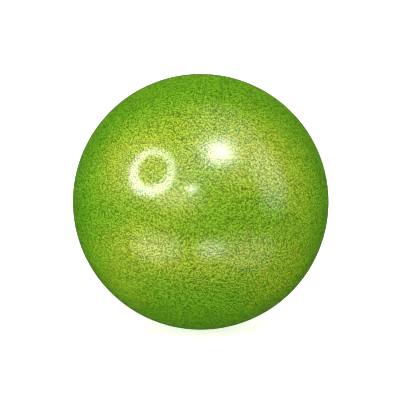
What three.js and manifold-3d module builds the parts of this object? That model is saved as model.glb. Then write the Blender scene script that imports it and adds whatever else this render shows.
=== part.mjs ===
// A hollow juggling ball of soft vinyl, 80 mm across, with a needle valve and its plug.
//
// Millimetres, +Z up, origin at the ball's centre. The valve's axis is +Y. Every piece is turned
// about that axis, so each one is a lathe profile of points (distance from the axis, place along +Y).
//
// The wall has three bonded layers, from the outside in: a clear gloss skin, a layer of clear vinyl
// full of glitter flakes, and the thick opaque core shell that gives the ball its weight. A soft
// valve body is moulded into a hole through all three. It holds a self-closing seal for the
// inflation needle, and a plug that pulls out along the axis.
import * as THREE from "three";
import { mergeVertices } from "three/addons/utils/BufferGeometryUtils.js";
import Module from "manifold-3d";

// The ball's wall
const BALL_RADIUS = 40;
const SKIN_WALL = 0.8;
const GLITTER_WALL = 1.0;
const CORE_WALL = 5.4;
const BOND_GAP = 0.1; // what is left between two bonded surfaces, so that their facets never cross

// The valve body, moulded into the wall
const VALVE_RADIUS = 6;
const VALVE_CLEARANCE = 0.15;
const FLANGE_RADIUS = 9;
const FLANGE_THICKNESS = 1.3;
const FLANGE_BEVEL = 0.3;
const TAIL_RADIUS = 4.2;
const TAIL_END = 23; // the tail's inner end, measured from the ball's centre
const TAIL_WALL = 1.2;
const TAIL_FILLET = 1.0; // where the tail meets the flange
const TAIL_BEVEL = 0.6;
const POCKET_RADIUS = 3.4; // the seat for the plug's head
const POCKET_FLOOR = 38;
const DUCT_RADIUS = 1.8; // the plug's stem and the inflation needle pass here
const DUCT_FLARE = 0.4;
const DUCT_FLARE_DEPTH = 0.6;
const NOTCH_RADIUS = 1.5; // a scoop at the pocket's edge, for a fingernail or a lever
const NOTCH_OFFSET = 0.2; // how far beyond the pocket's edge its centre is

// The seal in the valve body's tail
const SEAL_TOP = 28.4;
const SEAL_FIT = 0.15; // the gap all round it, in the chamber that holds it
const SEAL_BEVEL = 0.2;
const CHAMBER_LIP = 0.4; // how far the chamber's roof rises towards the duct
const SLIT_RADIUS = 0.5;
const FUNNEL_DEPTH = 1.4;

// The plug
const HEAD_RADIUS = 3.1;
const HEAD_SEAT_GAP = 0.15;
const HEAD_EDGE = 0.3; // the bevel of the head's rim
const STEM_SHOULDER = 0.3;
const STEM_SHOULDER_LENGTH = 0.6;
const STEM_RADIUS = 1.4;
const STEM_END = 29;
const STEM_TIP_RADIUS = 0.8;
const STEM_TAPER = 1.3;
const RIB_RADIUS = 1.68;
const RIB_LENGTH = 1.0;
const RIB_LAND = 0.1; // the depth of the step at a rib's wide end
const RIB_PLACES = [36.6, 34.2, 31.8]; // the wide end of each sealing rib

// Facets
const SHELL_SEGMENTS = 40;
const VALVE_SEGMENTS = 32;
const NOTCH_SEGMENTS = 16;
const FIRST_RING = 1.4; // a shell's first ring is at least this many hole radii from the axis
const SHELL_STEP = (2 * Math.PI) / SHELL_SEGMENTS;

const wasm = await Module();
wasm.setup();

// The place along the axis where a sphere about the ball's centre is this far from the axis.
function onSphere(sphereRadius, fromAxis) {
  return Math.sqrt(sphereRadius ** 2 - fromAxis ** 2);
}

// Points along a sphere, from the edge of the valve's hole to the pole opposite it. Each layer's
// rings stand at the same angles, so that the facets of two bonded surfaces are parallel.
function sphereArc(sphereRadius, holeRadius, step) {
  const points = [[holeRadius, onSphere(sphereRadius, holeRadius)]];
  const firstRing = Math.ceil((FIRST_RING * holeRadius) / sphereRadius / step);
  const rings = Math.round(Math.PI / step);
  for (let ring = firstRing; ring < rings; ring++) {
    const angle = ring * step;
    points.push([sphereRadius * Math.sin(angle), sphereRadius * Math.cos(angle)]);
  }
  points.push([0, -sphereRadius]);
  return points;
}

// A profile turned about +Y. A ring's profile repeats its first point at its end.
function turned(profile, segments) {
  const points = profile.map(([fromAxis, along]) => new THREE.Vector2(fromAxis, along));
  return new THREE.LatheGeometry(points, segments);
}

// One layer of the wall: up its outer surface from the far pole, through the hole, and back inside.
function layer(outerRadius, innerRadius, innerStep = SHELL_STEP) {
  const holeRadius = VALVE_RADIUS + VALVE_CLEARANCE;
  const outer = sphereArc(outerRadius, holeRadius, SHELL_STEP);
  const inner = sphereArc(innerRadius, holeRadius, innerStep);
  return turned([...outer.reverse(), ...inner], SHELL_SEGMENTS);
}

// A geometry as a manifold-3d solid, and back.
function solidOf(geometry) {
  const bare = geometry.clone().deleteAttribute("normal").deleteAttribute("uv");
  const merged = mergeVertices(bare, 1e-4);
  const vertProperties = merged.attributes.position.array;
  const triVerts = new Uint32Array(merged.index.array);
  return new wasm.Manifold(new wasm.Mesh({ numProp: 3, vertProperties, triVerts }));
}

function geometryOf(solid) {
  const mesh = solid.getMesh();
  const geometry = new THREE.BufferGeometry();
  geometry.setAttribute("position", new THREE.BufferAttribute(mesh.vertProperties, 3));
  geometry.setIndex(new THREE.BufferAttribute(mesh.triVerts, 1));
  geometry.computeVertexNormals();
  return geometry;
}

// The soft body: a domed face flush with the ball, a flange that lies against the inside of the
// core shell, and a tail that holds the seal between two lips.
function valveBody() {
  const wallInside = BALL_RADIUS - SKIN_WALL - GLITTER_WALL - CORE_WALL - BOND_GAP;
  const flangeEdge = onSphere(wallInside, FLANGE_RADIUS);
  const flangeUnder = flangeEdge - FLANGE_THICKNESS;
  const chamberRadius = TAIL_RADIUS - TAIL_WALL;
  const middle = (POCKET_RADIUS + VALVE_RADIUS) / 2;
  const firstPoint = [POCKET_RADIUS, onSphere(BALL_RADIUS, POCKET_RADIUS)];
  const profile = [
    firstPoint,
    [POCKET_RADIUS, POCKET_FLOOR],
    [DUCT_RADIUS + DUCT_FLARE, POCKET_FLOOR],
    [DUCT_RADIUS, POCKET_FLOOR - DUCT_FLARE_DEPTH],
    [DUCT_RADIUS, SEAL_TOP + CHAMBER_LIP],
    [chamberRadius, SEAL_TOP],
    [chamberRadius, TAIL_END + TAIL_WALL],
    [DUCT_RADIUS, TAIL_END + TAIL_WALL],
    [DUCT_RADIUS, TAIL_END],
    [TAIL_RADIUS - TAIL_BEVEL, TAIL_END],
    [TAIL_RADIUS, TAIL_END + TAIL_BEVEL],
    [TAIL_RADIUS, flangeUnder - TAIL_FILLET],
    [TAIL_RADIUS + TAIL_FILLET, flangeUnder],
    [FLANGE_RADIUS - FLANGE_BEVEL, flangeUnder],
    [FLANGE_RADIUS, flangeUnder + FLANGE_BEVEL],
    [FLANGE_RADIUS, flangeEdge],
    [VALVE_RADIUS, onSphere(wallInside, VALVE_RADIUS)],
    [VALVE_RADIUS, onSphere(BALL_RADIUS, VALVE_RADIUS)],
    [middle, onSphere(BALL_RADIUS, middle)],
    firstPoint,
  ];
  const body = solidOf(turned(profile, VALVE_SEGMENTS));
  const scoop = new THREE.SphereGeometry(NOTCH_RADIUS, NOTCH_SEGMENTS, NOTCH_SEGMENTS);
  scoop.translate(0, BALL_RADIUS, POCKET_RADIUS + NOTCH_OFFSET);
  return geometryOf(body.subtract(solidOf(scoop)));
}

// The seal: a soft block with a funnel that guides the needle into a narrow slit.
function valveSeal() {
  const outside = TAIL_RADIUS - TAIL_WALL - SEAL_FIT;
  const bottom = TAIL_END + TAIL_WALL + SEAL_FIT;
  const top = SEAL_TOP - SEAL_FIT;
  const firstPoint = [SLIT_RADIUS, bottom];
  const profile = [
    firstPoint,
    [outside, bottom],
    [outside, top - SEAL_BEVEL],
    [outside - SEAL_BEVEL, top],
    [DUCT_RADIUS, top],
    [SLIT_RADIUS, top - FUNNEL_DEPTH],
    firstPoint,
  ];
  return turned(profile, VALVE_SEGMENTS);
}

// The plug: a domed head that sits in the pocket, and a ribbed stem with a tapered tip.
function valvePlug() {
  const headEdge = onSphere(BALL_RADIUS, HEAD_RADIUS) - HEAD_EDGE;
  const headSeat = POCKET_FLOOR + HEAD_SEAT_GAP;
  const ribs = RIB_PLACES.flatMap((place) => [
    [STEM_RADIUS, place],
    [RIB_RADIUS, place - RIB_LAND],
    [STEM_RADIUS, place - RIB_LENGTH],
  ]);
  const profile = [
    [0, BALL_RADIUS],
    [HEAD_RADIUS / 2, onSphere(BALL_RADIUS, HEAD_RADIUS / 2)],
    [HEAD_RADIUS - HEAD_EDGE, onSphere(BALL_RADIUS, HEAD_RADIUS - HEAD_EDGE)],
    [HEAD_RADIUS, headEdge],
    [HEAD_RADIUS, headSeat],
    [STEM_RADIUS + STEM_SHOULDER, headSeat],
    [STEM_RADIUS, headSeat - STEM_SHOULDER_LENGTH],
    ...ribs,
    [STEM_RADIUS, STEM_END + STEM_TAPER],
    [STEM_TIP_RADIUS, STEM_END],
    [0, STEM_END],
  ];
  return turned(profile.reverse(), VALVE_SEGMENTS);
}

function material(color, roughness, options = {}) {
  return new THREE.MeshStandardMaterial({ color, roughness, metalness: 0, ...options });
}

const clearVinyl = material(0xc4dd86, 0.08, { transparent: true, opacity: 0.35 });
const glitterVinyl = material(0xa4bf45, 0.3, { metalness: 0.6 });
const greenVinyl = material(0x4f9a22, 0.55);
const softRubber = material(0x76b03a, 0.6);
const sealRubber = material(0xd9d4c4, 0.8);
const plugPlastic = material(0x3f8a1c, 0.35);

const ball = new THREE.Group();

function add(name, geometry, ownMaterial) {
  const mesh = new THREE.Mesh(geometry, ownMaterial);
  mesh.name = name;
  ball.add(mesh);
}

const skinInside = BALL_RADIUS - SKIN_WALL;
const glitterInside = skinInside - GLITTER_WALL;
const coreInside = glitterInside - CORE_WALL;

add("clear_skin", layer(BALL_RADIUS, skinInside), clearVinyl);
add("glitter_layer", layer(skinInside - BOND_GAP, glitterInside), glitterVinyl);
add("core_shell", layer(glitterInside - BOND_GAP, coreInside, 2 * SHELL_STEP), greenVinyl);
add("valve_body", valveBody(), softRubber);
add("valve_seal", valveSeal(), sealRubber);
add("valve_plug", valvePlug(), plugPlastic);

export default ball;
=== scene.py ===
"""A hollow juggling ball of soft vinyl: green glitter under a clear gloss skin, and a needle valve.

Metres, in the row frame: +Z up, the ball's centre at the origin, the valve on the +Y side, and
the camera on the -Y side.
"""

import math

import bpy
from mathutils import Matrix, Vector


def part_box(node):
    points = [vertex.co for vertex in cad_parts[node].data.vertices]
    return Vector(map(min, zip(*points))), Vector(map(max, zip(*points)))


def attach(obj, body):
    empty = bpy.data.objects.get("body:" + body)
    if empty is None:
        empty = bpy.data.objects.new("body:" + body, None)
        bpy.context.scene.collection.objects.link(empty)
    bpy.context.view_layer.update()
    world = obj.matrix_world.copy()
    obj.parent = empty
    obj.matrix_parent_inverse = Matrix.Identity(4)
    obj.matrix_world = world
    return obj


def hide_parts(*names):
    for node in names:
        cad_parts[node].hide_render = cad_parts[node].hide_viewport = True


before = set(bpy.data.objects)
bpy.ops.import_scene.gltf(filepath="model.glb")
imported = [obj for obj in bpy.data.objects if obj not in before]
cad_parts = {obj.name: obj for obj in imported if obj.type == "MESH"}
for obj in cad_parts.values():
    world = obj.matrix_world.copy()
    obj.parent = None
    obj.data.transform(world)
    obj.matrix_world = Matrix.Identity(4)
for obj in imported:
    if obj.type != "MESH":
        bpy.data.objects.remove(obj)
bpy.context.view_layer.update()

MM = 0.001

# Sizes from the frame
BALL_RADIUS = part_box("clear_skin")[1].x
CORE_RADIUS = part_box("core_shell")[1].x
FLOOR_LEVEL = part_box("clear_skin")[0].z
PLUG_LOW, PLUG_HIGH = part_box("valve_plug")
SEAL_LOW, SEAL_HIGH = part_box("valve_seal")
BODY_LOW, BODY_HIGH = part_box("valve_body")

# The wall
BOND_GAP = 0.1 * MM
CORE_INSIDE = 32.8 * MM
HOLE_RADIUS = 6.15 * MM
HOLE_LIP = 0.35 * MM  # the rounding of the hole's outer edge
CORE_LIP = 0.1 * MM  # the same, in the core shell

# The valve body
DISC_RADIUS = 6.0 * MM
DISC_EDGE = 0.35 * MM
POCKET_RADIUS = 3.4 * MM
POCKET_FLOOR = 38.0 * MM
DUCT_RADIUS = 1.8 * MM
CHAMBER_RADIUS = 3.0 * MM
CHAMBER_ROOF = 28.4 * MM
CHAMBER_LIP = 0.4 * MM
TAIL_RADIUS = 4.2 * MM
TAIL_WALL = 1.2 * MM
FLANGE_THICKNESS = 1.3 * MM
NOTCH_RADIUS = 1.5 * MM
NOTCH_OFFSET = 0.2 * MM  # how far beyond the pocket's edge its centre is

# The seal
SLIT_RADIUS = 0.5 * MM
FUNNEL_DEPTH = 1.4 * MM

# The plug
STEM_RADIUS = 1.4 * MM
STEM_TIP_RADIUS = 0.8 * MM
STEM_TAPER = 1.3 * MM
HEAD_SEAT = 38.15 * MM
RIB_RADIUS = 1.68 * MM
RIB_LENGTH = 1.0 * MM
RIB_LAND = 0.1 * MM  # the depth of the step at a rib's wide end
RIB_PLACES = [36.6 * MM, 34.2 * MM, 31.8 * MM]

# Mesh detail
FACE_QUADS = 40  # quads along each side of a cube sphere's six faces
HOLE_RINGS = 12
RING_CROWDING = 1.6  # above 1, the rings are closer together near the hole
TURN_SEGMENTS = 96
NOTCH_SEGMENTS, NOTCH_RINGS = 48, 32
EDGE_STEPS = 4
SHARP_ANGLE = 40
DISC_STEPS = 8  # across the valve's domed face
DOME_STEPS = 6  # across the plug's domed head
WELD_DISTANCE = 0.001 * MM

# The UV map of a wall layer: the heights at which each surface's cells begin and end
OUTER_MAP = (0.1, 1.0)
INNER_MAP = (0.04, 0.1)
LIP_MAP_HEIGHT = 0.035
CELL_FILL = 0.985  # how much of its cell each patch takes up

# The camera
CAMERA_DISTANCE = 0.9
CAMERA_ELEVATION = 8.0
BALL_SHARE = 0.64  # how much of the picture's width the ball takes up
SENSOR_WIDTH = 36.0
SHIFT_RIGHT = -0.0018
SHIFT_UP = 0.0044


def direction(azimuth, elevation):
    """Towards a place round the ball. Azimuth 0 is the camera's side, and 90 its right."""
    a, e = math.radians(azimuth), math.radians(elevation)
    return Vector((math.sin(a) * math.cos(e), -math.cos(a) * math.cos(e), math.sin(e)))


def on_sphere(radius, from_axis):
    return math.sqrt(radius**2 - from_axis**2)


# ---- Meshes


def link(name, mesh):
    thing = bpy.data.objects.new(name, mesh)
    bpy.context.scene.collection.objects.link(thing)
    return thing


def smooth(mesh):
    mesh.shade_smooth()
    mesh.set_sharp_from_angle(angle=math.radians(SHARP_ANGLE))


def rounded(corner, before, after, size):
    """Points round a profile's corner. The first and the last are this far from it, towards the
    points before and after it."""
    corner, before, after = Vector(corner), Vector(before), Vector(after)
    start = corner + (before - corner).normalized() * size
    end = corner + (after - corner).normalized() * size
    points = []
    for i in range(EDGE_STEPS + 1):
        t = i / EDGE_STEPS
        points.append(start * (1 - t) ** 2 + corner * 2 * t * (1 - t) + end * t**2)
    return [tuple(p) for p in points]


def with_round_corners(profile, closed):
    """A profile whose points are (from the axis, along it, rounding of that corner)."""
    points = []
    for i, (from_axis, along, size) in enumerate(profile):
        at_end = not closed and i in (0, len(profile) - 1)
        if size == 0 or at_end:
            points.append((from_axis, along))
            continue
        before, after = profile[i - 1], profile[(i + 1) % len(profile)]
        points += rounded((from_axis, along), before[:2], after[:2], size)
    return points


def turned(name, profile, closed=False):
    """Turns a profile about +Y. The solid lies on the left of the profile's direction of travel.
    A closed profile is a ring's section, and any other begins and ends on the axis."""
    vertices, rings, faces = [], [], []
    for from_axis, along in with_round_corners(profile, closed):
        first = len(vertices)
        if from_axis == 0:
            vertices.append((0, along, 0))
            rings.append([first] * TURN_SEGMENTS)
            continue
        for i in range(TURN_SEGMENTS):
            angle = 2 * math.pi * i / TURN_SEGMENTS
            x, z = from_axis * math.sin(angle), from_axis * math.cos(angle)
            vertices.append((x, along, z))
        rings.append([first + i for i in range(TURN_SEGMENTS)])
    following = rings[1:] + rings[:1] if closed else rings[1:]
    for ring, next_ring in zip(rings, following):
        for i in range(TURN_SEGMENTS):
            j = (i + 1) % TURN_SEGMENTS
            corners = (ring[i], ring[j], next_ring[j], next_ring[i])
            faces.append(list(dict.fromkeys(corners)))  # a triangle where a ring is a point
    mesh = bpy.data.meshes.new(name)
    mesh.from_pydata(vertices, [], faces)
    smooth(mesh)
    return link(name, mesh)


class Patches:
    """A mesh made of grids of points, which are welded where they meet. Each has its UV map."""

    def __init__(self):
        self.vertices = []
        self.known = {}
        self.faces = []
        self.uvs = []

    def vertex(self, point):
        key = tuple(round(c / WELD_DISTANCE) for c in point)
        if key not in self.known:
            self.known[key] = len(self.vertices)
            self.vertices.append(tuple(point))
        return self.known[key]

    def grid(self, rows, uv_rows, inwards=False):
        """Adds quads between rows of points. inwards turns their outer sides over."""
        for i in range(len(rows) - 1):
            for j in range(len(rows[i]) - 1):
                corners = [(i, j), (i, j + 1), (i + 1, j + 1), (i + 1, j)]
                if inwards:
                    corners.reverse()
                self.faces.append([self.vertex(rows[a][b]) for a, b in corners])
                self.uvs.append([uv_rows[a][b] for a, b in corners])

    def piece(self, name):
        mesh = bpy.data.meshes.new(name)
        mesh.from_pydata(self.vertices, [], self.faces)
        layer = mesh.uv_layers.new(name="OFBake")
        flat = [c for face in self.uvs for place in face for c in place]
        layer.data.foreach_set("uv", flat)
        smooth(mesh)
        return link(name, mesh)


# A cube's front, right, left, top and bottom, each from two places across it
CUBE_FACES = [
    lambda a, b: (a, -1, b),
    lambda a, b: (1, a, b),
    lambda a, b: (-1, -a, b),
    lambda a, b: (a, b, 1),
    lambda a, b: (a, -b, -1),
]


def even_steps(count):
    """The places of a cube sphere's grid lines on the flat cube face: even in angle."""
    return [math.tan(math.pi / 4 * (2 * i / count - 1)) for i in range(count + 1)]


def back_outline():
    """Directions round the edge of the cube sphere's back face, whose middle is +Y, closed."""
    steps = even_steps(FACE_QUADS)
    edges = [(s, -1) for s in steps[:-1]] + [(1, s) for s in steps[:-1]]
    edges += [(-s, 1) for s in steps[:-1]] + [(-1, -s) for s in steps[:-1]]
    edges.append(edges[0])
    return [Vector((-a, 1, b)).normalized() for a, b in edges]


def cell(number, low, high, u, v):
    """A place in one of six UV cells, three across and two up, between two heights of the map.
    u and v run from -1 to 1."""
    height = (high - low) / 2
    column, row = number % 3, number // 3
    across = (column + 0.5 + CELL_FILL * u / 2) / 3
    return (across, low + height * (row + 0.5 + CELL_FILL * v / 2))


def sphere_with_hole(patches, radius, hole, uv_range, inwards):
    """A cube sphere whose back face is a net of quads round a hole of this radius."""
    low, high = uv_range
    steps = even_steps(FACE_QUADS)
    spread = [2 * i / FACE_QUADS - 1 for i in range(FACE_QUADS + 1)]
    for number, corner in enumerate(CUBE_FACES):
        rows = [[Vector(corner(a, b)).normalized() * radius for a in steps] for b in steps]
        uv_rows = [[cell(number, low, high, u, v) for u in spread] for v in spread]
        patches.grid(rows, uv_rows, inwards)
    start = math.asin(hole / radius)
    rows, uv_rows = [], []
    for ring in range(HOLE_RINGS + 1):
        row, uv_row = [], []
        for outline in back_outline():
            away = Vector((outline.x, 0, outline.z)).normalized()
            end = math.acos(outline.y)
            angle = start + (end - start) * (ring / HOLE_RINGS) ** RING_CROWDING
            point = away * math.sin(angle) + Vector((0, math.cos(angle), 0))
            row.append(point * radius)
            u, v = math.atan2(-point.x, point.y), math.atan2(point.z, point.y)
            uv_row.append(cell(len(CUBE_FACES), low, high, 4 * u / math.pi, 4 * v / math.pi))
        rows.append(row)
        uv_rows.append(uv_row)
    patches.grid(rows, uv_rows, not inwards)


def wall_layer(name, outer, inner, lip):
    """One layer of the ball's wall: a closed shell with the valve's hole through it."""
    patches = Patches()
    lip_start = HOLE_RADIUS + lip
    outer_edge = on_sphere(outer, lip_start)
    inner_edge = on_sphere(inner, HOLE_RADIUS)
    corner = (HOLE_RADIUS, on_sphere(outer, HOLE_RADIUS))
    profile = rounded(corner, (lip_start, outer_edge), (HOLE_RADIUS, inner_edge), lip)
    profile[0] = (lip_start, outer_edge)  # on the sphere, so that the two meet
    profile.append((HOLE_RADIUS, inner_edge))
    sphere_with_hole(patches, outer, lip_start, OUTER_MAP, inwards=False)
    sphere_with_hole(patches, inner, HOLE_RADIUS, INNER_MAP, inwards=True)
    rows, uv_rows = [], []
    outlines = back_outline()
    for i, (from_axis, along) in enumerate(profile):
        row, uv_row = [], []
        height = LIP_MAP_HEIGHT * (1 - i / (len(profile) - 1))
        for j, outline in enumerate(outlines):
            away = Vector((outline.x, 0, outline.z)).normalized()
            row.append(away * from_axis + Vector((0, along, 0)))
            uv_row.append((j / (len(outlines) - 1), height))
        rows.append(row)
        uv_rows.append(uv_row)
    patches.grid(rows, uv_rows)
    return patches.piece(name)


# ---- Materials


class Nodes:
    """A node tree, and a short way to add nodes to it."""

    def __init__(self, tree):
        self.nodes, self.links = tree.nodes, tree.links

    def put(self, node, **inputs):
        """Sets a node's inputs, each to a value or to another node's output. An input is given by
        name, with _ for a space, or by number, as in _0."""
        for name, value in inputs.items():
            key = int(name[1:]) if name[1:].isdigit() else name.replace("_", " ")
            socket = node.inputs[key]
            if isinstance(value, bpy.types.NodeSocket):
                self.links.new(value, socket)
            else:
                socket.default_value = value

    def add(self, kind, settings=None, **inputs):
        node = self.nodes.new(kind)
        for name, value in (settings or {}).items():
            setattr(node, name, value)
        self.put(node, **inputs)
        return node

    def maths(self, operation, a, b=0.0):
        return self.add("ShaderNodeMath", {"operation": operation}, _0=a, _1=b).outputs[0]

    def vector(self, operation, a, b=(0, 0, 0)):
        return self.add("ShaderNodeVectorMath", {"operation": operation}, _0=a, _1=b).outputs[0]

    def dot(self, a, b):
        product = self.add("ShaderNodeVectorMath", {"operation": "DOT_PRODUCT"}, _0=a, _1=b)
        return product.outputs["Value"]

    def scaled(self, vector, factor):
        scale = self.add("ShaderNodeVectorMath", {"operation": "SCALE"}, _0=vector, Scale=factor)
        return scale.outputs[0]

    def mix(self, factor, a, b):
        """A mix of two colours, which are inputs 6 and 7 of the node."""
        node = self.add("ShaderNodeMix", {"data_type": "RGBA"}, Factor=factor, _6=a, _7=b)
        return node.outputs[2]

    def spread(self, value, low, high):
        """A value from 0 to 1, spread over another range."""
        return self.add("ShaderNodeMapRange", _0=value, _3=low, _4=high).outputs[0]

    def between(self, value, start, end, low=0.0, high=1.0):
        """A smooth step from low to high, as a value goes from start to end."""
        step = self.add("ShaderNodeMapRange", {"interpolation_type": "SMOOTHSTEP"}, _0=value)
        self.put(step, _1=start, _2=end, _3=low, _4=high)
        return step.outputs[0]


class Shader(Nodes):
    """A material with a Principled BSDF."""

    def __init__(self, name):
        self.material = bpy.data.materials.new(name)
        self.material.use_nodes = True
        super().__init__(self.material.node_tree)
        self.surface = self.nodes["Principled BSDF"]
        self.place = self.add("ShaderNodeTexCoord").outputs["Object"]

    def noise(self, scale, detail):
        texture = self.add("ShaderNodeTexNoise", Vector=self.place, Scale=scale, Detail=detail)
        return texture.outputs["Fac"]

    def bump(self, height, distance):
        return self.add("ShaderNodeBump", Height=height, Distance=distance).outputs["Normal"]

    def first(self, colour):
        """The first of a colour's three numbers."""
        return self.add("ShaderNodeSeparateColor", _0=colour).outputs[0]

    def cells(self, size):
        """Random cells of about this size: three random numbers for each, as a colour."""
        texture = self.add("ShaderNodeTexVoronoi", Vector=self.place, Scale=1 / size)
        return texture.outputs["Color"]

    def tilted(self, randoms, amount):
        """The surface's normal, tilted at random for each cell."""
        centred = self.vector("SUBTRACT", randoms, (0.5, 0.5, 0.5))
        normal = self.add("ShaderNodeNewGeometry").outputs["Normal"]
        tilt = self.scaled(centred, 2 * amount)
        return self.vector("NORMALIZE", self.vector("ADD", normal, tilt))


def colour(red, green, blue):
    return (red, green, blue, 1.0)


# The glitter layer: grains, which are tilted at random and have a random brightness, and finer
# specks in them, each of which is either metal flake or green vinyl. A grain's brightness is
# partly the glitter's own uneven tone and partly painted glint and painted shade, which stand in
# for the light that each grain catches or misses
GRAIN_SIZE = 0.23 * MM
SPECK_SIZE = 0.06 * MM
FLAKE_SHARE = 0.45
GRAIN_TILT = 0.07
DARKEST, BRIGHTEST = 0.05, 0.95  # the random numbers that give the darkest and brightest grains
FLAKE_ROUGHNESS = 0.35
BODY_ROUGHNESS = 0.5
# The bright and dull flake colours, and the light and dark body colours, hold painted glint and
# painted shade as well as the glitter's own tone
FLAKE_BRIGHT = colour(0.86, 0.48, 0.09)
FLAKE_DULL = colour(0.03, 0.01, 0.0)
FLAKE_EDGE = colour(0.3, 0.75, 0.1)  # what a flake mirrors at a grazing angle
BODY_LIGHT = colour(0.32, 1.0, 0.03)
BODY_DARK = colour(0.01, 0.2, 0.0)

# The clear skin's gloss
SKIN_IOR = 1.5
SKIN_RIPPLE = 0.03
FADE_START = 0.6  # the gloss fades from here towards the outline, where this is 1
GLOSS_AT_EDGE = 0.65


def glitter_vinyl():
    """Fine metallic flakes in green vinyl, under a clear gloss coat."""
    s = Shader("glitter_vinyl")
    grain = s.cells(GRAIN_SIZE)
    # Each grain's random brightness: painted glint and painted shade, over the glitter's own uneven
    # tone
    light = s.between(s.first(grain), DARKEST, BRIGHTEST)
    is_flake = s.maths("LESS_THAN", s.first(s.cells(SPECK_SIZE)), FLAKE_SHARE)
    body = s.mix(light, BODY_DARK, BODY_LIGHT)
    flake = s.mix(light, FLAKE_DULL, FLAKE_BRIGHT)
    rough = s.spread(is_flake, BODY_ROUGHNESS, FLAKE_ROUGHNESS)
    s.put(s.surface, Base_Color=s.mix(is_flake, body, flake), Metallic=is_flake, Roughness=rough)
    s.put(s.surface, Normal=s.tilted(grain, GRAIN_TILT))
    s.put(s.surface, Specular_IOR_Level=0.0, Specular_Tint=FLAKE_EDGE)
    facing = s.add("ShaderNodeLayerWeight", Blend=0.5).outputs["Facing"]
    gloss = s.between(facing, FADE_START, 1.0, 1.0, GLOSS_AT_EDGE)
    s.put(s.surface, Coat_Weight=gloss, Coat_Roughness=0.0, Coat_IOR=SKIN_IOR)
    s.put(s.surface, Coat_Normal=s.tilted(grain, SKIN_RIPPLE))
    return s.material


# The moulded pieces' patterns: a noise's scale, in waves per metre, and its detail
CLOUDS = (120, 3.0)
TINT = (5200, 1.0)
SHINE = (700, 3.0)
MOULD_GRAIN = (3600, 2.0)
TINT_RANGE = (0.93, 1.04)
SHINE_RANGE = 0.07

# Light colour, dark colour, roughness, and the depth of the mould's grain
CORE_VINYL = (colour(0.1, 0.4, 0.01), colour(0.06, 0.29, 0.008), 0.5, 0.02 * MM)
VALVE_RUBBER = (colour(0.25, 0.56, 0.03), colour(0.18, 0.45, 0.02), 0.42, 0.015 * MM)
SEAL_RUBBER = (colour(0.72, 0.68, 0.56), colour(0.6, 0.56, 0.45), 0.7, 0.02 * MM)
PLUG_PLASTIC = (colour(0.09, 0.32, 0.012), colour(0.06, 0.24, 0.008), 0.32, 0.01 * MM)


def moulded_vinyl(name, light, dark, roughness, grain_depth):
    """Plain soft vinyl or rubber: faint clouds of colour, and the fine grain of the mould."""
    s = Shader(name)
    clouds = s.mix(s.noise(*CLOUDS), dark, light)
    tint = s.spread(s.noise(*TINT), *TINT_RANGE)
    rough = s.spread(s.noise(*SHINE), roughness - SHINE_RANGE, roughness + SHINE_RANGE)
    s.put(s.surface, Base_Color=s.scaled(clouds, tint), Roughness=rough)
    s.put(s.surface, Normal=s.bump(s.noise(*MOULD_GRAIN), grain_depth))
    return s.material


# ---- Pieces


def finished(piece, body, slot, material, *nodes):
    """Gives a piece its material, the body it rides on and the CAD nodes it replaces. The slot is
    not used.
    """
    piece.data.materials.append(material)
    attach(piece, body)
    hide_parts(*nodes)


def make_valve_body(material):
    flange_radius = BODY_HIGH.x
    flange_edge = on_sphere(CORE_INSIDE - BOND_GAP, flange_radius)
    under = flange_edge - FLANGE_THICKNESS
    tail_end = BODY_LOW.y
    chamber_floor = tail_end + TAIL_WALL
    inside = on_sphere(CORE_INSIDE - BOND_GAP, DISC_RADIUS)
    across = [i / DISC_STEPS for i in range(1, DISC_STEPS)]
    radii = [POCKET_RADIUS + (DISC_RADIUS - POCKET_RADIUS) * t for t in across]
    face = [(radius, on_sphere(BALL_RADIUS, radius), 0) for radius in radii]
    profile = [
        (POCKET_RADIUS, on_sphere(BALL_RADIUS, POCKET_RADIUS), 0.25 * MM),
        (POCKET_RADIUS, POCKET_FLOOR, 0.2 * MM),
        (DUCT_RADIUS, POCKET_FLOOR, 0.4 * MM),
        (DUCT_RADIUS, CHAMBER_ROOF + CHAMBER_LIP, 0.1 * MM),
        (CHAMBER_RADIUS, CHAMBER_ROOF, 0.1 * MM),
        (CHAMBER_RADIUS, chamber_floor, 0.1 * MM),
        (DUCT_RADIUS, chamber_floor, 0.1 * MM),
        (DUCT_RADIUS, tail_end, 0.2 * MM),
        (TAIL_RADIUS, tail_end, 0.5 * MM),
        (TAIL_RADIUS, under, 0.8 * MM),
        (flange_radius, under, 0.3 * MM),
        (flange_radius, flange_edge, 0.15 * MM),
        (DISC_RADIUS, inside, 0.1 * MM),
        (DISC_RADIUS, on_sphere(BALL_RADIUS, DISC_RADIUS), DISC_EDGE),
    ]
    piece = turned("valve_housing", profile + face[::-1], closed=True)
    carve_notch(piece)
    finished(piece, "ball", "valve_rubber", material, "valve_body")


def carve_notch(piece):
    """Cuts the fingernail notch into the pocket's edge."""
    middle = (0, BALL_RADIUS, POCKET_RADIUS + NOTCH_OFFSET)
    bpy.ops.mesh.primitive_uv_sphere_add(
        segments=NOTCH_SEGMENTS, ring_count=NOTCH_RINGS, radius=NOTCH_RADIUS, location=middle
    )
    cutter = bpy.context.object
    cut = piece.modifiers.new("notch", "BOOLEAN")
    cut.object = cutter
    cut.operation = "DIFFERENCE"
    cut.solver = "EXACT"
    evaluated = piece.evaluated_get(bpy.context.evaluated_depsgraph_get())
    mesh = bpy.data.meshes.new_from_object(evaluated)
    piece.modifiers.clear()
    piece.data = mesh
    smooth(mesh)
    bpy.data.objects.remove(cutter)


def make_seal(material):
    outside, low, high = SEAL_HIGH.x, SEAL_LOW.y, SEAL_HIGH.y
    profile = [
        (SLIT_RADIUS, low, 0),
        (outside, low, 0.15 * MM),
        (outside, high, 0.2 * MM),
        (DUCT_RADIUS, high, 0.2 * MM),
        (SLIT_RADIUS, high - FUNNEL_DEPTH, 0.2 * MM),
    ]
    piece = turned("needle_seal", profile, closed=True)
    finished(piece, "ball", "seal_rubber", material, "valve_seal")


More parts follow.
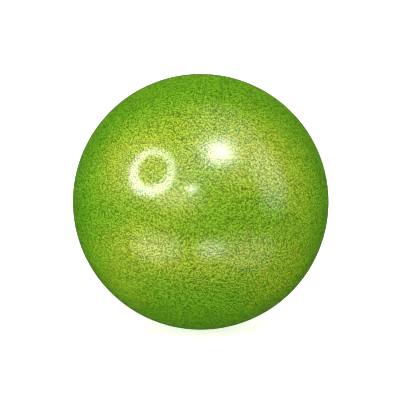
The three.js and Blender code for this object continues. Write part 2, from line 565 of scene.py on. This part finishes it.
def make_plug(material):
    head_radius, tip, top = PLUG_HIGH.x, PLUG_LOW.y, PLUG_HIGH.y
    radii = [head_radius * i / DOME_STEPS for i in range(1, DOME_STEPS)]
    dome = [(radius, on_sphere(top, radius), 0) for radius in radii]
    ribs = []
    for place in reversed(RIB_PLACES):
        ribs += [
            (STEM_RADIUS, place - RIB_LENGTH, 0.1 * MM),
            (RIB_RADIUS, place - RIB_LAND, 0.08 * MM),
            (STEM_RADIUS, place, 0.05 * MM),
        ]
    profile = [
        (0, tip, 0),
        (STEM_TIP_RADIUS, tip, 0.25 * MM),
        (STEM_RADIUS, tip + STEM_TAPER, 0.3 * MM),
        *ribs,
        (STEM_RADIUS, HEAD_SEAT, 0.4 * MM),
        (head_radius, HEAD_SEAT, 0.2 * MM),
        (head_radius, on_sphere(top, head_radius), 0.3 * MM),
        *reversed(dome),
        (0, top, 0),
    ]
    piece = turned("pull_plug", profile)
    finished(piece, "plug", "plug_plastic", material, "valve_plug")


def make_ball():
    glitter = glitter_vinyl()
    core = moulded_vinyl("core_vinyl", *CORE_VINYL)
    wall = wall_layer("glitter_wall", BALL_RADIUS, CORE_RADIUS + BOND_GAP, HOLE_LIP)
    finished(wall, "ball", "glitter_vinyl", glitter, "clear_skin", "glitter_layer")
    inner = wall_layer("weight_shell", CORE_RADIUS, CORE_INSIDE, CORE_LIP)
    finished(inner, "ball", "core_vinyl", core, "core_shell")
    make_valve_body(moulded_vinyl("valve_rubber", *VALVE_RUBBER))
    make_seal(moulded_vinyl("seal_rubber", *SEAL_RUBBER))
    make_plug(moulded_vinyl("plug_plastic", *PLUG_PLASTIC))


# ---- The studio


FLOOR_RADIUS = 3.2
FLOOR_COLOUR = colour(0.86, 0.86, 0.86)
FLOOR_GLOW = 0.68

# The studio's lights are soft patches painted on the surroundings. Each one is an azimuth, an
# elevation, a half width, a half height, the softness of its edge, its brightness, and its
# roundness: 2 is an ellipse, and more is nearer a rectangle. The half sizes are tangents of angles.

# What lights everything that isn't a mirror, in three levels
DIM, FAIR, BRIGHT = 0.7, 1.1, 1.6
ROOM = {
    "all_round": 0.15,
    "ceiling": (0, 70, 0.8, 0.6, 0.5, FAIR, 3),
    "left_wall": (-80, 30, 0.5, 0.45, 0.5, BRIGHT, 3),
    "front_wall": (-35, 30, 0.45, 0.4, 0.5, DIM, 3),
    "front_low": (-20, 10, 0.45, 0.25, 0.6, BRIGHT, 3),
    "right_wall": (55, 30, 0.7, 0.4, 0.5, FAIR, 3),
    "right_side": (100, 25, 0.45, 0.8, 0.5, DIM, 3),
    "table": (0, -45, 1.5, 0.35, 0.4, FAIR, 3),
    "table_left": (-60, -30, 0.5, 0.3, 0.5, FAIR, 3),
    "table_far_left": (-110, -40, 0.5, 0.3, 0.5, DIM, 3),
    "table_right": (100, -40, 0.6, 0.3, 0.5, DIM, 3),
    "lamp_behind": (180, 10, 0.4, 0.4, 0.4, FAIR, 3),
}

# What the gloss coat mirrors: walls, bright panels and lamps
WALL, PANEL, LAMP = 0.8, 2.0, 14.0
MIRRORED = {
    "all_round": 0.02,
    "left_wall": (-45, 30, 0.85, 0.45, 0.35, WALL, 3),
    "right_wall": (30, 50, 0.7, 0.5, 0.35, WALL, 3),
    "ceiling": (60, 70, 0.4, 0.4, 0.6, WALL, 3),
    "window": (-22, 15, 0.35, 0.2, 0.9, PANEL, 3),
    "right_panel": (70, 20, 0.26, 0.42, 0.45, PANEL, 3),
    "table_glow": (-44, -33, 0.38, 0.22, 0.5, PANEL, 2),
    "table_shine": (11, -35, 0.18, 0.14, 0.8, 2 * PANEL, 2),
    "table_right": (50, -37, 0.42, 0.26, 0.4, WALL, 3),
    "ring_light": (-51.5, 29, 0.39, 0.35, 0.13, LAMP, 2),
    "ring_middle": (-50.5, 31.5, 0.27, 0.235, 0.2, -LAMP, 2),
    "umbrella_core": (25, 51.5, 0.14, 0.13, 0.9, LAMP, 2),
    "umbrella": (24.5, 51.5, 0.27, 0.23, 0.6, LAMP / 2, 3),
    "small_lamp": (-8, 19, 0.07, 0.06, 0.6, LAMP, 2),
}


def soft_light(w, way, azimuth, elevation, half_width, half_height, edge, brightness, roundness):
    """The light from one patch, for a ray that goes this way."""
    axis = direction(azimuth, elevation)
    right = Vector((0, 0, 1)).cross(axis).normalized()
    up = axis.cross(right)
    ahead = w.dot(way, axis)
    away = 0.0
    for side in (right / half_width, up / half_height):
        part = w.maths("ABSOLUTE", w.maths("DIVIDE", w.dot(way, side), ahead))
        away = w.maths("ADD", away, w.maths("POWER", part, roundness))
    glow = w.between(w.maths("POWER", away, 1 / roundness), 1 + edge, 1 - edge)
    in_front = w.maths("GREATER_THAN", ahead, 0.0)
    return w.maths("MULTIPLY", w.maths("MULTIPLY", glow, brightness), in_front)


def painted(w, way, patches):
    """The light from a set of patches together."""
    total = patches["all_round"]
    for name, patch in patches.items():
        if name != "all_round":
            total = w.maths("ADD", total, soft_light(w, way, *patch))
    return total


def make_world():
    """Plain white for the camera. The gloss coat mirrors one set of patches, and the other set
    lights the rest."""
    world = bpy.data.worlds.new("studio")
    world.use_nodes = True
    w = Nodes(world.node_tree)
    way = w.add("ShaderNodeTexCoord").outputs["Generated"]
    path = w.add("ShaderNodeLightPath").outputs
    room, mirrored = painted(w, way, ROOM), painted(w, way, MIRRORED)
    lit = w.spread(path["Is Singular Ray"], room, mirrored)
    strength = w.spread(path["Is Camera Ray"], lit, 1.0)
    w.put(w.nodes["Background"], Color=colour(1, 1, 1), Strength=strength)
    bpy.context.scene.world = world


def make_floor():
    """A pale floor that only the camera sees, so that it adds no light of its own."""
    bpy.ops.mesh.primitive_circle_add(
        vertices=TURN_SEGMENTS, radius=FLOOR_RADIUS, fill_type="NGON", location=(0, 0, FLOOR_LEVEL)
    )
    floor = bpy.context.object
    floor.name = "floor"
    s = Shader("floor")
    s.put(s.surface, Base_Color=FLOOR_COLOUR, Roughness=0.8, Specular_IOR_Level=0.2)
    s.put(s.surface, Emission_Color=colour(1, 1, 1), Emission_Strength=FLOOR_GLOW)
    floor.data.materials.append(s.material)
    floor.visible_glossy = floor.visible_diffuse = floor.visible_shadow = False


def make_camera():
    data = bpy.data.cameras.new("camera")
    camera = link("camera", data)
    towards = direction(0, CAMERA_ELEVATION)
    camera.location = towards * CAMERA_DISTANCE
    camera.rotation_euler = towards.to_track_quat("Z", "Y").to_euler()
    data.sensor_width = SENSOR_WIDTH
    data.shift_x, data.shift_y = SHIFT_RIGHT, SHIFT_UP
    apparent = math.tan(math.asin(BALL_RADIUS / CAMERA_DISTANCE))
    data.lens = SENSOR_WIDTH * BALL_SHARE / 2 / apparent
    bpy.context.scene.camera = camera


bpy.context.scene.view_settings.view_transform = "Standard"
bpy.context.scene.cycles.filter_width = 1.0
make_ball()
make_floor()
make_world()
make_camera()
